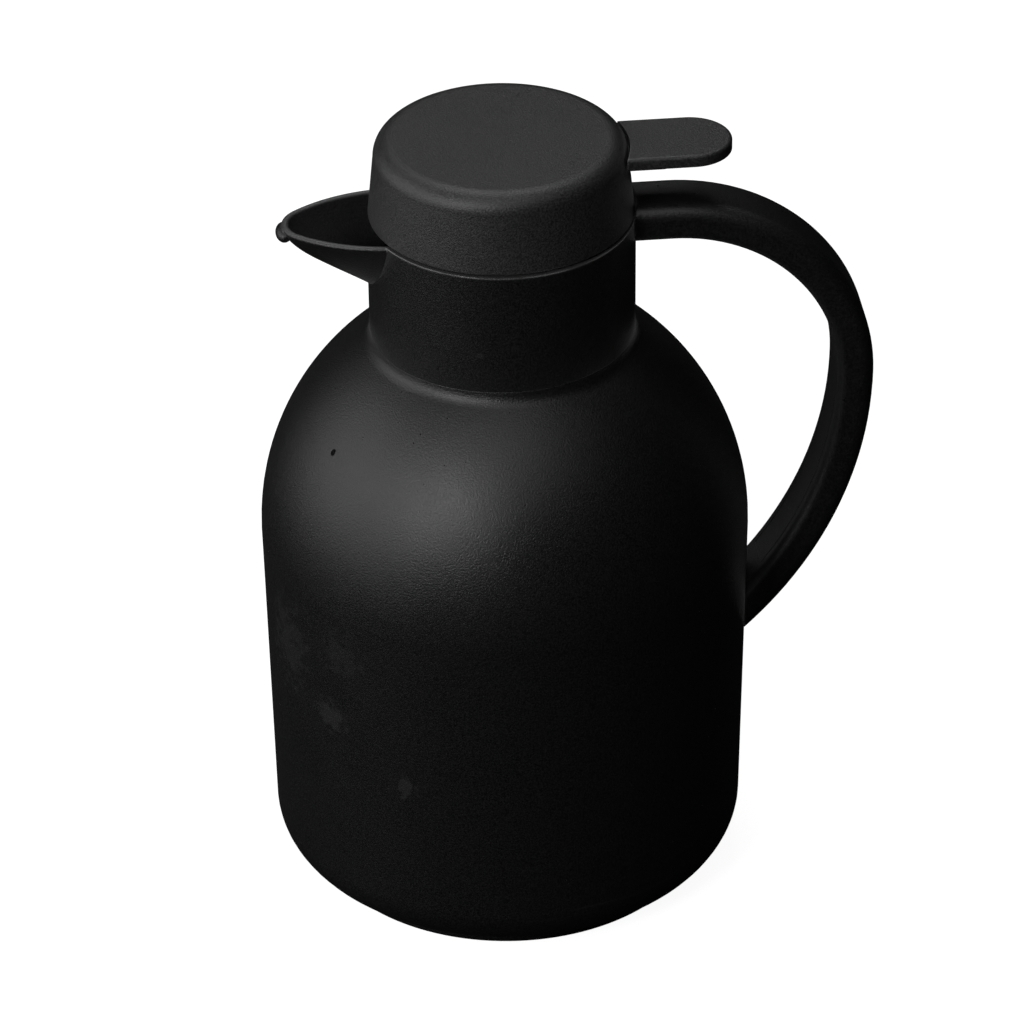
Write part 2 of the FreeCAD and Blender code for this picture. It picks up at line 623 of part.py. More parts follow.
def make_flask_inner():
    body = new_body("flask_inner_wall")
    outer = "(flask_radius - glass - vacuum_gap)"
    neck = "(flask_neck - glass - neck_gap)"
    bottom = "(flask_z + glass + vacuum_gap)"
    corner = "(flask_corner - glass)"
    arc = f"({outer} - {neck})"
    shoulder = "(flask_shoulder - vacuum_gap)"
    revolve(body, "inner_bottle", [
        ("0", bottom),
        (f"{outer} - {corner}", bottom, corner, 1),
        (outer, f"{bottom} + {corner}"),
        (outer, shoulder, arc, 1),
        (neck, f"{shoulder} + {arc}"),
        (neck, "lip_z - glass"),
        ("flask_neck", "lip_z - glass"),
        ("flask_neck", "lip_z"),
        (f"{neck} - glass", "lip_z"),
        (f"{neck} - glass", f"{shoulder} + {arc} - glass"),
        (neck, f"{shoulder} + {arc} - glass", f"{arc} - glass", -1),
        (f"{outer} - glass", shoulder),
        (f"{outer} - glass", f"{bottom} + {corner}", f"{corner} - glass", -1),
        (f"{outer} - {corner}", f"{bottom} + glass"),
        ("0", f"{bottom} + glass"),
    ])
    return body


def make_base_cover():
    body = new_body("base_cover")
    skirt = "(base_opening - fit_gap)"
    floor = "(base_recess + base_floor)"
    support = "(flask_z - cushion_height)"
    cushion_in = "(cushion_radius - cushion_width)"
    revolve(body, "base_dish", [
        ("0", "base_recess"),
        ("base_radius - ring_width", "base_recess"),
        ("base_radius - ring_width", "0"),
        ("base_radius", "0"),
        ("base_radius", "base_step"),
        (skirt, "base_step"),
        (skirt, "base_step + base_skirt"),
        (f"{skirt} - base_wall", "base_step + base_skirt"),
        (f"{skirt} - base_wall", floor),
        ("cushion_radius", floor),
        ("cushion_radius", support),
        (cushion_in, support),
        (cushion_in, floor),
        ("0", floor),
    ])
    return body


def make_cap():
    body = new_body("cap_shell")
    inner = "(cap_top_radius - cap_wall)"
    revolve(body, "cap_dome", [
        ("cap_radius - cap_wall", "cap_z"),
        ("cap_radius - cap_edge", "cap_z", "cap_edge", 1),
        ("cap_radius", "cap_z + cap_edge"),
        ("cap_top_radius", "cap_top - cap_round", "cap_round", 1),
        ("cap_top_radius - cap_round", "cap_top"),
        ("0", "cap_top"),
        ("0", "cap_top - cap_wall"),
        ("cap_top_radius - cap_round", "cap_top - cap_wall", "cap_round - cap_wall", -1),
        (inner, "cap_top - cap_round"),
        (inner, "plate_top"),
        ("cap_radius - cap_wall", "plate_top"),
    ])
    fall = "(cap_radius - pivot_x) * sin(lever_angle)"
    block(body, "lever_slot",
          ("pivot_x", "-(shank_width / 2 + move_gap)", f"lever_z - shank_depth - {fall} - move_gap"),
          ("cap_radius + lever_gap", "shank_width / 2 + move_gap", "lever_z + 2 * move_gap"), cut=True)
    return body


def make_stopper():
    body = new_body("stopper_body")
    cage_in = "(cage_radius - cage_wall)"
    revolve(body, "stopper_cup", [
        ("port_radius", "plug_z"),
        ("plug_radius", "plug_z"),
        ("plug_radius", "plug_top"),
        ("cage_radius", "plug_top"),
        ("cage_radius", "cap_z"),
        (cage_in, "cap_z"),
        (cage_in, "seat_z"),
        ("port_radius", "seat_z"),
    ])
    window = block(body, "pouring_window",
                   (f"{cage_in} - cage_wall", "-window_width / 2", "plug_top + window_sill"),
                   ("cage_radius + cage_wall", "window_width / 2", "cap_z - window_head"), cut=True)
    pattern = body.newObject("PartDesign::PolarPattern", "pouring_windows")
    pattern.Originals = [window]
    upright = next(item for item in body.Origin.OriginFeatures if item.Role == "Z_Axis")
    pattern.Axis = (upright, [""])
    pattern.Angle = 360
    pattern.Occurrences = WINDOW_COUNT
    body.Tip = pattern
    return body


def make_stopper_top():
    body = new_body("stopper_top")
    hole = "(stem_radius + pin_gap)"
    locator_out = "(cage_radius - cage_wall - fit_gap)"
    revolve(body, "top_plate", [
        (hole, "cap_z - guide_depth"),
        ("guide_radius", "cap_z - guide_depth"),
        ("guide_radius", "cap_z"),
        (f"{locator_out} - locator", "cap_z"),
        (f"{locator_out} - locator", "cap_z - locator"),
        (locator_out, "cap_z - locator"),
        (locator_out, "cap_z"),
        ("cap_radius - cap_wall - fit_gap", "cap_z"),
        ("cap_radius - cap_wall - fit_gap", "plate_top"),
        (hole, "plate_top"),
    ])
    near = "(shank_width / 2 + move_gap)"
    for name, start in (("left_ear", near), ("right_ear", f"-({near} + ear_thick)")):
        block(body, name,
              ("pivot_x - ear_radius", start, "plate_top - plate_thick / 2"),
              ("pivot_x + ear_radius", f"{start} + ear_thick", "pivot_z"))
        rod(body, f"{name}_round", "y", ("pivot_x", start, "pivot_z"), "ear_radius", "ear_thick")
    rod(body, "pin_holes", "y", ("pivot_x", f"-({near} + 2 * ear_thick)", "pivot_z"),
        "lever_pin + pin_gap", f"2 * ({near} + 2 * ear_thick)", cut=True)
    return body


def make_lever():
    body = new_body("thumb_lever")
    start = "sqrt(concave^2 - lever_half^2)"
    round_x = "(lever_reach - lever_half)"
    sketch = new_sketch(body, "thumb_plate_outline", "XY_Plane", "lever_z")
    outline(sketch, [
        (start, "-lever_half"),
        (round_x, "-lever_half", "lever_half", 1),
        ("lever_reach", "0", "lever_half", 1),
        (round_x, "lever_half"),
        (start, "lever_half", "concave", -1),
    ])
    plate = body.newObject("PartDesign::Pad", "thumb_plate")
    plate.Profile = sketch
    plate.setExpression("Length", bound("lever_thick"))
    doc.recompute()
    top = size("lever_top")
    concave = size("concave")

    def upper_rim(edge):
        point = middle(edge)
        on_top = abs(point.z - top) < 1e-3 and edge.BoundBox.ZLength < 1e-3
        return on_top and math.hypot(point.x, point.y) > concave + 0.1
    fillet(body, "plate_edge", "lever_edge", upper_rim)

    shank_z = "(lever_z - shank_depth)"
    block(body, "shank", ("pivot_x", "-shank_width / 2", shank_z),
          ("cap_radius + shank_run", "shank_width / 2", "lever_z + lever_thick / 8"))
    rod(body, "pivot_boss_round", "y", ("pivot_x", "-shank_width / 2", "pivot_z"),
        "pivot_boss", "shank_width")
    prong_top = "(lift_z + prong_depth / 2)"
    prong_low = "(lift_z - prong_depth / 2)"
    fork_root = "(stem_radius + 2 * move_gap)"
    pad_across(body, "fork", [
        ("-prong_end", prong_low),
        ("pivot_x / 3", prong_low),
        ("pivot_x", "pivot_z - pivot_boss"),
        ("pivot_x", "pivot_z + pivot_boss"),
        ("pivot_x * 2 / 3", "pivot_z + pivot_boss / 2"),
        ("pivot_x / 3", prong_top),
        ("-prong_end", prong_top),
    ], f"2 * ({fork_root} + prong)")
    block(body, "fork_gap",
          ("-2 * prong_end", f"-{fork_root}", f"{prong_low} - prong_depth"),
          ("pivot_x / 2", fork_root, f"{prong_top} + prong_depth"), cut=True)
    block(body, "lift_slot",
          ("-(lift_pin + slot_play)", f"-({fork_root} + 2 * prong)", "lift_z - lift_pin - slot_slack"),
          ("lift_pin + slot_play", f"{fork_root} + 2 * prong", "lift_z + lift_pin + slot_slack"), cut=True)
    rod(body, "pivot_bore", "y", ("pivot_x", "-shank_width", "pivot_z"), "lever_pin + pin_gap",
        "2 * shank_width", cut=True)
    return body


def make_pins():
    near = "(shank_width / 2 + move_gap)"
    pivot = new_body("lever_pin")
    rod(pivot, "lever_pin_rod", "y", ("pivot_x", f"-({near} + ear_thick)", "pivot_z"), "lever_pin",
        f"2 * ({near} + ear_thick)")
    span = "(stem_radius + 2 * move_gap + prong)"
    lift = new_body("lift_pin")
    rod(lift, "lift_pin_rod", "y", ("0", f"-{span}", "lift_z"), "lift_pin", f"2 * {span}")
    return [pivot, lift]


def make_valve():
    body = new_body("valve_plunger")
    nose = "(port_radius - move_gap)"
    revolve(body, "valve_stem", [
        ("0", "disc_z - nose_depth"),
        (nose, "disc_z - nose_depth"),
        (nose, "disc_z"),
        (f"{nose} + fit_gap + gasket_width", "disc_z"),
        (f"{nose} + fit_gap + gasket_width", "disc_top"),
        ("stem_radius", "disc_top"),
        ("stem_radius", "head_z"),
        ("0", "head_z"),
    ])
    rod(body, "lift_pin_hole", "y", ("0", "-2 * stem_radius", "lift_z"), "lift_pin + pin_gap",
        "4 * stem_radius", cut=True)
    return body


def tangent_arc(start, tangent, end):
    """Give the arc that leaves start along a tangent and arrives at end."""
    chord = end - start
    along = FreeCAD.Vector(chord).normalize()
    side = tangent - along * tangent.dot(along)
    sag = chord.Length / 2 * math.tan(side.Length and tangent.getAngle(along) / 2)
    return Part.Arc(start, start + chord * 0.5 + side.normalize() * sag, end).toShape()


def biarc(start, leaving, end, arriving):
    """Join two points and their tangents by two arcs that meet smoothly."""
    chord = end - start
    both = leaving + arriving
    spread = 2 * (1 - leaving.dot(arriving))
    reach = (math.sqrt(chord.dot(both) ** 2 + spread * chord.dot(chord)) - chord.dot(both)) / spread
    joint = (start + leaving * reach + end - arriving * reach) * 0.5
    first = tangent_arc(start, leaving, joint)
    second = tangent_arc(end, arriving * -1, joint)
    return [first, second]


def make_spring():
    """Wind the return spring as one unbroken tube between valve disc and top plate."""
    radius = size("spring_radius")
    wire = size("spring_wire")
    low = size("disc_top") + wire + size("slot_slack")
    high = size("cap_z") - wire - size("slot_slack")
    rise = (high - low) / (2 * math.pi * SPRING_TURNS)

    def place(angle):
        return FreeCAD.Vector(radius * math.cos(angle), radius * math.sin(angle), low + rise * angle)

    def tangent(angle):
        return FreeCAD.Vector(-radius * math.sin(angle), radius * math.cos(angle), rise).normalize()

    quarter = math.pi / 2
    edges = []
    for step in range(SPRING_TURNS * 4):
        start = step * quarter
        end = start + quarter
        edges += biarc(place(start), tangent(start), place(end), tangent(end))
    spine = Part.Wire(Part.__sortEdges__(edges))
    section = Part.Wire(Part.Circle(place(0), tangent(0), wire).toShape())
    coil = doc.addObject("Part::Feature", "return_spring")
    coil.Shape = spine.makePipeShell([section], True, False)
    turn_gap = min((place(angle + 2 * math.pi) - place(angle)).Length for angle in (0.0, quarter)) - 2 * wire
    print(f"return_spring least gap between turns {turn_gap:.2f} mm")
    return coil


def make_all():
    seal_in = "(plug_radius - 2 * move_gap - seal_width)"
    gasket_in = "(port_radius - move_gap + fit_gap)"
    return [
        make_jacket(),
        make_collar(),
        make_handle(),
        make_handle_cover(),
        make_handle_screw(),
        make_flask_outer(),
        make_flask_inner(),
        ring("flask_mouth_seal", "mouth_radius", "flask_neck", "lip_z", "floor_z - mouth_floor"),
        ring("flask_cushion", "cushion_radius - cushion_width", "cushion_radius",
             "flask_z - cushion_height", "flask_z"),
        make_base_cover(),
        make_cap(),
        make_stopper(),
        make_stopper_top(),
        ring("stopper_seal", seal_in, "plug_radius - 2 * move_gap", "floor_z", "plug_z"),
        make_lever(),
        make_valve(),
        ring("valve_gasket", gasket_in, f"{gasket_in} + gasket_width", "seat_z", "disc_z"),
        make_spring(),
    ] + make_pins()


pieces = make_all()
doc.recompute()

for item in doc.Objects:
    if "Invalid" in item.State or "Error" in item.State:
        raise RuntimeError(f"{item.Label} did not build: {item.State}")

os.makedirs("parts", exist_ok=True)
for piece in pieces:
    shape = piece.Shape
    if shape.isNull() or not shape.isValid() or len(shape.Solids) != 1:
        raise RuntimeError(f"{piece.Label} is not one valid solid")
    shape.exportStep(f"parts/{piece.Label}.step")
    print(f"{piece.Label} {shape.Volume / 1000:.2f} cm3")
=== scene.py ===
import math

import bmesh
import bpy
from mathutils import Matrix, Vector


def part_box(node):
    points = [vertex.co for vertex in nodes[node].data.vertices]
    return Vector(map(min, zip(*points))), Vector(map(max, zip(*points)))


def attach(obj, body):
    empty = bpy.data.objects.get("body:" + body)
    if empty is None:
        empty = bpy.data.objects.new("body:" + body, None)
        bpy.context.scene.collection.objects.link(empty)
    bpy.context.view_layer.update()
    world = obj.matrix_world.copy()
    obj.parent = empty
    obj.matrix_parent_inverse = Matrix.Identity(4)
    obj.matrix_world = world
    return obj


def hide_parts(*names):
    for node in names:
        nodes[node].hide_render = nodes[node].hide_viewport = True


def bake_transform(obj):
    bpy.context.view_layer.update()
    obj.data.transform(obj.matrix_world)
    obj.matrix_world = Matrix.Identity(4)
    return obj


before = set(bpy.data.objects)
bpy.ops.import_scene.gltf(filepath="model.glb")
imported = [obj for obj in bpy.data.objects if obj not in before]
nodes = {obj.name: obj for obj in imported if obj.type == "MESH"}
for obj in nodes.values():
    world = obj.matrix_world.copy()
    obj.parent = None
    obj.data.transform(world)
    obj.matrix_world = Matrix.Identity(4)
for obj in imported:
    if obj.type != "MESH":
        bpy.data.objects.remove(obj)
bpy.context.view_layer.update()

MM = 0.001


# Shader building helpers

FLOAT = "NodeSocketFloat"
VECTOR = "NodeSocketVector"

# places of a colour mix's sockets
MIX_FIRST, MIX_SECOND, MIX_RESULT = 6, 7, 2
# the middle of a pattern of zero to one
MIDDLE = 0.5


def feed(tree, socket, value):
    """Gives a socket a plain value, or a link where the value comes from another socket."""
    if isinstance(value, bpy.types.NodeSocket):
        tree.links.new(value, socket)
    else:
        socket.default_value = value


def node(tree, kind, inputs=None, **settings):
    """Adds one shader node with its settings and its inputs."""
    made = tree.nodes.new(kind)
    for key, value in settings.items():
        setattr(made, key, value)
    for key, value in (inputs or {}).items():
        feed(tree, made.inputs[key], value)
    return made


def maths(tree, operation, first, second=0.0, clamp=False):
    """One sum on two values."""
    made = node(tree, "ShaderNodeMath", {0: first, 1: second}, operation=operation, use_clamp=clamp)
    return made.outputs[0]


def times(tree, first, second):
    """First times second."""
    return maths(tree, "MULTIPLY", first, second)


def from_middle(tree, value, share):
    """How far a pattern is from its middle, times share."""
    return times(tree, maths(tree, "SUBTRACT", value, MIDDLE), share)


def ramp(tree, value, low, high, out_low=0.0, out_high=1.0):
    """A smooth step from out_low to out_high while value goes from low to high."""
    made = node(
        tree, "ShaderNodeMapRange",
        {"Value": value, "From Min": low, "From Max": high, "To Min": out_low, "To Max": out_high},
        interpolation_type="SMOOTHSTEP",
    )
    return made.outputs["Result"]


def noise(tree, vector, scale, detail, roughness=0.5):
    """A cloudy pattern of zero to one."""
    made = node(tree, "ShaderNodeTexNoise",
                {"Vector": vector, "Scale": scale, "Detail": detail, "Roughness": roughness})
    return made.outputs["Fac"]


def stretched(tree, vector, scale):
    """Coordinates with a scale of their own along each axis."""
    return node(tree, "ShaderNodeMapping", {"Vector": vector, "Scale": scale}).outputs[0]


def height_of(tree, vector):
    """The upright part of a place."""
    return node(tree, "ShaderNodeSeparateXYZ", {"Vector": vector}).outputs["Z"]


def blend_colours(tree, share, first, second):
    """Mixes two colours by share."""
    inputs = {"Factor": share, MIX_FIRST: first, MIX_SECOND: second}
    made = node(tree, "ShaderNodeMix", inputs, data_type="RGBA")
    return made.outputs[MIX_RESULT]


def open_group(name, inputs, outputs):
    """An empty shader group with its named sockets."""
    group = bpy.data.node_groups.new(name, "ShaderNodeTree")
    for label, kind, value in inputs:
        socket = group.interface.new_socket(label, in_out="INPUT", socket_type=kind)
        if value is not None:
            socket.default_value = value
    for label, kind in outputs:
        group.interface.new_socket(label, in_out="OUTPUT", socket_type=kind)
    return group, node(group, "NodeGroupInput").outputs, node(group, "NodeGroupOutput").inputs


def place(tree, group, inputs):
    """Puts a shader group in a material."""
    return node(tree, "ShaderNodeGroup", inputs, node_tree=group).outputs


# Effects that several finishes share

# a smudge ends half way out to its reach, where its border isn't ragged
SMUDGE_END = 0.5
# the least share of its size that a speck has
SMALLEST_SPECK = 0.3
# scuffs are long round the body and thin in height
SCUFF_STRETCH = (14.0, 14.0, 700.0)
# cosines between the eased and the plain normal at a full edge and at none
EDGE_FULL, EDGE_NONE = 0.9, 0.99
EDGE_SAMPLES = 4


def make_grain():
    """The fine eroded texture of a mould: a rough skin and slow, cloudy changes."""
    group, given, out = open_group(
        "moulded_grain",
        [("Vector", VECTOR, None), ("Fineness", FLOAT, 1800.0), ("Cloudiness", FLOAT, 35.0)],
        [("Height", FLOAT), ("Cloud", FLOAT)],
    )
    skin = noise(group, given["Vector"], given["Fineness"], detail=3.0, roughness=0.6)
    cloud = noise(group, given["Vector"], given["Cloudiness"], detail=4.0, roughness=0.55)
    feed(group, out["Height"], skin)
    feed(group, out["Cloud"], ramp(group, cloud, low=0.3, high=0.7))
    return group


def make_patch():
    """A smudge with a ragged border round one point of the surface."""
    group, given, out = open_group(
        "rubbed_patch",
        [("Vector", VECTOR, None), ("Centre", VECTOR, None), ("Reach", FLOAT, 0.01), ("Flatness", FLOAT, 1.0),
         ("Fade", FLOAT, 0.3), ("Ragged", FLOAT, 3.0)],
        [("Mask", FLOAT)],
    )
    gap = node(group, "ShaderNodeVectorMath", {0: given["Vector"], 1: given["Centre"]}, operation="SUBTRACT")
    squeeze = node(group, "ShaderNodeCombineXYZ", {"X": 1.0, "Y": 1.0, "Z": given["Flatness"]})
    scaled = node(group, "ShaderNodeVectorMath", {0: gap.outputs[0], 1: squeeze.outputs[0]},
                  operation="MULTIPLY")
    length = node(group, "ShaderNodeVectorMath", {0: scaled.outputs[0]}, operation="LENGTH")
    share = maths(group, "DIVIDE", length.outputs["Value"], given["Reach"])
    border = noise(group, given["Vector"], scale=310.0, detail=4.0, roughness=0.65)
    edge = maths(group, "ADD", share, times(group, border, given["Ragged"]))
    middle = maths(group, "ADD", times(group, given["Ragged"], MIDDLE), SMUDGE_END)
    start = maths(group, "SUBTRACT", middle, given["Fade"])
    end = maths(group, "ADD", middle, given["Fade"])
    feed(group, out["Mask"], ramp(group, edge, start, end, out_low=1.0, out_high=0.0))
    return group


def make_specks():
    """Sparse specks of dust and tiny moulding flaws."""
    group, given, out = open_group(
        "dust_specks",
        [("Vector", VECTOR, None), ("Spacing", FLOAT, 150.0), ("Share", FLOAT, 0.1), ("Size", FLOAT, 0.05)],
        [("Mask", FLOAT)],
    )
    cells = node(group, "ShaderNodeTexVoronoi", {"Vector": given["Vector"], "Scale": given["Spacing"]})
    pick = node(group, "ShaderNodeSeparateColor", {"Color": cells.outputs["Color"]})
    chosen = maths(group, "LESS_THAN", pick.outputs["Red"], given["Share"])
    size = times(group, given["Size"], maths(group, "ADD", pick.outputs["Green"], SMALLEST_SPECK))
    dot = maths(group, "LESS_THAN", cells.outputs["Distance"], size)
    feed(group, out["Mask"], times(group, dot, chosen))
    return group


def make_scuffs():
    """Level scuff lines, as from setting the piece down and turning it."""
    group, given, out = open_group(
        "level_scuffs",
        [("Vector", VECTOR, None), ("Low", FLOAT, 0.0), ("High", FLOAT, 0.03)],
        [("Mask", FLOAT)],
    )
    height = height_of(group, given["Vector"])
    middle = times(group, maths(group, "ADD", given["Low"], given["High"]), 0.5)
    rise = ramp(group, height, given["Low"], middle)
    fall = ramp(group, height, middle, given["High"], out_low=1.0, out_high=0.0)
    level = stretched(group, given["Vector"], SCUFF_STRETCH)
    lines = noise(group, level, scale=1.0, detail=3.0, roughness=0.7)
    patches = noise(group, given["Vector"], scale=22.0, detail=2.0)
    streak = times(group, ramp(group, lines, low=0.55, high=0.75), ramp(group, patches, low=0.42, high=0.62))
    feed(group, out["Mask"], times(group, streak, times(group, rise, fall)))
    return group


def make_rub_and_sheen():
    """Crisp edges eased as a mould leaves them, and rubbed a little smoother by hands and cloths; the mask
    marks these edges for the rubbed roughness and for painted edge highlights.
    """
    group, given, out = open_group(
        "eased_edges",
        [("Vector", VECTOR, None), ("Width", FLOAT, 0.0005)],
        [("Normal", VECTOR), ("Mask", FLOAT)],
    )
    plain = node(group, "ShaderNodeNewGeometry")
    eased = node(group, "ShaderNodeBevel", {"Radius": given["Width"]}, samples=EDGE_SAMPLES)
    feed(group, out["Normal"], eased.outputs["Normal"])
    likeness = node(group, "ShaderNodeVectorMath", {0: plain.outputs["Normal"], 1: eased.outputs["Normal"]},
                    operation="DOT_PRODUCT")
    edge = ramp(group, likeness.outputs["Value"], EDGE_FULL, EDGE_NONE, out_low=1.0, out_high=0.0)
    patchy = noise(group, given["Vector"], scale=90.0, detail=3.0)
    feed(group, out["Mask"], times(group, edge, ramp(group, patchy, low=0.3, high=0.6)))
    return group


GRAIN = make_grain()
PATCH = make_patch()
SPECKS = make_specks()
SCUFFS = make_scuffs()
RUB_AND_SHEEN = make_rub_and_sheen()


# Kinds of finish

def open_material(name):
    """A new material with its shader, and the surface's own coordinates."""
    material = bpy.data.materials.new(name)
    material.use_nodes = True
    tree = material.node_tree
    shader = tree.nodes["Principled BSDF"]
    surface = node(tree, "ShaderNodeTexCoord").outputs["Object"]
    return material, tree, shader, surface


def tone(colour, share):
    """A colour made darker or lighter."""
    return (*[share * part for part in colour[:3]], 1.0)


def grey(level):
    """A neutral colour."""
    return (level, level, level, 1.0)


def vary_roughness(tree, shader, pattern, least, change):
    """Makes the surface rougher where the pattern is high."""
    feed(tree, shader.inputs["Roughness"], maths(tree, "ADD", times(tree, pattern, change), least))


def raise_surface(tree, shader, inputs):
    """Gives the shader the normal of a bumped surface."""
    bump = node(tree, "ShaderNodeBump", inputs)
    feed(tree, shader.inputs["Normal"], bump.outputs["Normal"])


WORN = grey(0.032)
# pale grey of the painted edge highlights
EDGE_HIGHLIGHT = grey(0.25)
# near black of the nick, painted shade inside its dent
NICK_SHADE = grey(0.0004)

# specks in each finish: cells to the metre, share of cells that hold one, size within its cell
DUST = {"Spacing": 130.0, "Share": 0.16, "Size": 0.045}
PITS = {"Spacing": 520.0, "Share": 0.05, "Size": 0.18}
GLASS_SPECKS = {"Spacing": 240.0, "Share": 0.1, "Size": 0.05}
RUBBER_DUST = {"Spacing": 320.0, "Share": 0.22, "Size": 0.06}
DUST_STRENGTH = 0.8
SCUFF_STRENGTH = 0.35
DUSTY_SHARE = 0.5

# depths of pits and of the nick, in heights of the grain
PIT_DEPTH = 0.5
NICK_DEPTH = 1.5
NICK_BORDER = {"Fade": 0.12, "Ragged": 1.3}

# colour with painted shade in the grain's hollows, painted light on its tops, and in its clouds, as shares of
# the plain colour
HOLLOW_SHADE_TONE = 0.35
TOP_LIGHT_TONE = 1.65
CLOUD_TONE = 0.6
# the most that a cloud covers
CLOUD_SHARE = 0.3

# changes of roughness by the clouds, by the grain and on rubbed edges
CLOUD_ROUGH = 0.05
GRAIN_ROUGH = 0.25
RUBBED_ROUGH = 0.06

# painted edge highlights show only above this height, which is round the mouth
EDGE_FLOOR = 209.5 * MM
# a painted highlight lies along the rim over this band below its top, by this share
RIM_BAND = 0.7 * MM
RIM_SHARE = 0.16


def worn_marks(tree, surface, patches, scuffs):
    """How strongly dust, smudges and scuffs cover each place."""
    dust = place(tree, SPECKS, {"Vector": surface, **DUST})
    marks = times(tree, dust["Mask"], DUST_STRENGTH)
    for centre, reach, flatness, strength in patches:
        smudge = place(tree, PATCH, {"Vector": surface, "Centre": centre, "Reach": reach,
                                     "Flatness": flatness})
        marks = maths(tree, "MAXIMUM", marks, times(tree, smudge["Mask"], strength))
    if scuffs:
        low, high = scuffs
        lines = place(tree, SCUFFS, {"Vector": surface, "Low": low, "High": high})
        marks = maths(tree, "MAXIMUM", marks, times(tree, lines["Mask"], SCUFF_STRENGTH))
    return marks


def grained_colour(tree, grain, colour):
    """The plastic's colour with painted light on the grain's tops and painted shade in its hollows, and darker
    in its clouds.
    """
    tops = ramp(tree, grain["Height"], low=0.32, high=0.68)
    speckled = blend_colours(tree, tops, tone(colour, HOLLOW_SHADE_TONE), tone(colour, TOP_LIGHT_TONE))
    return blend_colours(tree, times(tree, grain["Cloud"], CLOUD_SHARE), speckled, tone(colour, CLOUD_TONE))


def painted_edge_highlights(tree, surface, rubbed, strength, rim):
    """How strongly painted highlights cover each place: on the rubbed, eased edges round the mouth, and along
    the rim's crest.
    """
    height = height_of(tree, surface)
    near_mouth = maths(tree, "GREATER_THAN", height, EDGE_FLOOR)
    pale = times(tree, times(tree, rubbed, strength), near_mouth)
    if rim:
        crest_highlight = ramp(tree, height, rim - RIM_BAND, rim, out_low=0.0, out_high=RIM_SHARE)
        pale = maths(tree, "MAXIMUM", pale, crest_highlight)
    return pale


def moulded_plastic(name, colour, rough, fineness, depth, edges, patches=(), scuffs=None, nick=None, rim=None):
    """Matt black plastic with a mould's grain, faint clouds, specks, smudges and rubbed edges, with painted
    light and shade on the grain, painted highlights on edges and the rim, and painted shade in the nick.
    """
    material, tree, shader, surface = open_material(name)
    grain = place(tree, GRAIN, {"Vector": surface, "Fineness": fineness})
    rub_and_sheen = place(tree, RUB_AND_SHEEN, {"Vector": surface})
    pits = place(tree, SPECKS, {"Vector": surface, **PITS})
    height = maths(tree, "SUBTRACT", grain["Height"], times(tree, pits["Mask"], PIT_DEPTH))
    marks = worn_marks(tree, surface, patches, scuffs)
    tint = blend_colours(tree, marks, grained_colour(tree, grain, colour), WORN)
    # painted highlights on the edges round the mouth and on the rim
    tint = blend_colours(tree, painted_edge_highlights(tree, surface, rub_and_sheen["Mask"], edges, rim), tint, EDGE_HIGHLIGHT)
    if nick:
        centre, reach, flatness = nick
        dent_and_shade = place(tree, PATCH, {"Vector": surface, "Centre": centre, "Reach": reach, "Flatness": flatness,
                                   **NICK_BORDER})["Mask"]
        # painted shade: the nick's dent is coloured near black
        tint = blend_colours(tree, dent_and_shade, tint, NICK_SHADE)
        height = maths(tree, "SUBTRACT", height, times(tree, dent_and_shade, NICK_DEPTH))
        # painted shade in the nick: a black metal has no pale shine, so the nick stays dark in the light
        feed(tree, shader.inputs["Metallic"], dent_and_shade)
    feed(tree, shader.inputs["Base Color"], tint)
    change = from_middle(tree, grain["Cloud"], CLOUD_ROUGH)
    change = maths(tree, "ADD", change, from_middle(tree, height, GRAIN_ROUGH))
    change = maths(tree, "SUBTRACT", change, times(tree, rub_and_sheen["Mask"], RUBBED_ROUGH))
    feed(tree, shader.inputs["Roughness"], maths(tree, "ADD", change, rough, clamp=True))
    raise_surface(tree, shader,
                  {"Height": height, "Strength": 1.0, "Distance": depth, "Normal": rub_and_sheen["Normal"]})
    return material


SILVER = (0.86, 0.87, 0.88, 1.0)
SILVER_HAZE = (0.78, 0.77, 0.74, 1.0)
SILVER_SPECK = (0.35, 0.33, 0.3, 1.0)


def silvered_glass(name):
    """Flask glass with a mirror coat behind it, slightly wavy and a little hazed by use."""
    material, tree, shader, surface = open_material(name)
    waves = noise(tree, surface, scale=28.0, detail=1.0)
    haze = noise(tree, surface, scale=60.0, detail=5.0, roughness=0.6)
    specks = place(tree, SPECKS, {"Vector": surface, **GLASS_SPECKS})
    cloud = ramp(tree, haze, low=0.35, high=0.75)
    silver = blend_colours(tree, cloud, SILVER, SILVER_HAZE)
    feed(tree, shader.inputs["Base Color"], blend_colours(tree, specks["Mask"], silver, SILVER_SPECK))
    vary_roughness(tree, shader, cloud, least=0.1, change=0.12)
    raise_surface(tree, shader, {"Height": waves, "Distance": 0.4 * MM, "Strength": 0.35})
    shader.inputs["Metallic"].default_value = 0.7
    shader.inputs["Coat Weight"].default_value = 0.6
    shader.inputs["Coat Roughness"].default_value = 0.03
    return material


def soft_rubber(name, colour, dusty, rough, through):
    """Silicone or rubber with a dull skin that holds a little dust."""
    material, tree, shader, surface = open_material(name)
    grain = place(tree, GRAIN, {"Vector": surface, "Fineness": 1400.0, "Cloudiness": 90.0})
    specks = place(tree, SPECKS, {"Vector": surface, **RUBBER_DUST})
    tint = blend_colours(tree, times(tree, grain["Cloud"], DUSTY_SHARE), colour, dusty)
    feed(tree, shader.inputs["Base Color"], blend_colours(tree, specks["Mask"], tint, dusty))
    vary_roughness(tree, shader, grain["Cloud"], least=rough, change=0.1)
    raise_surface(tree, shader, {"Height": grain["Height"], "Distance": 0.03 * MM, "Strength": 0.6})
    shader.inputs["Subsurface Weight"].default_value = through
    shader.inputs["Subsurface Radius"].default_value = (2 * MM, 2 * MM, 2 * MM)
    return material


STEEL = (0.66, 0.65, 0.63, 1.0)
DULL_STEEL = (0.52, 0.51, 0.5, 1.0)
# drawing lines are long in one direction and fine across it
DRAWN_STRETCH = (260.0, 5200.0, 5200.0)


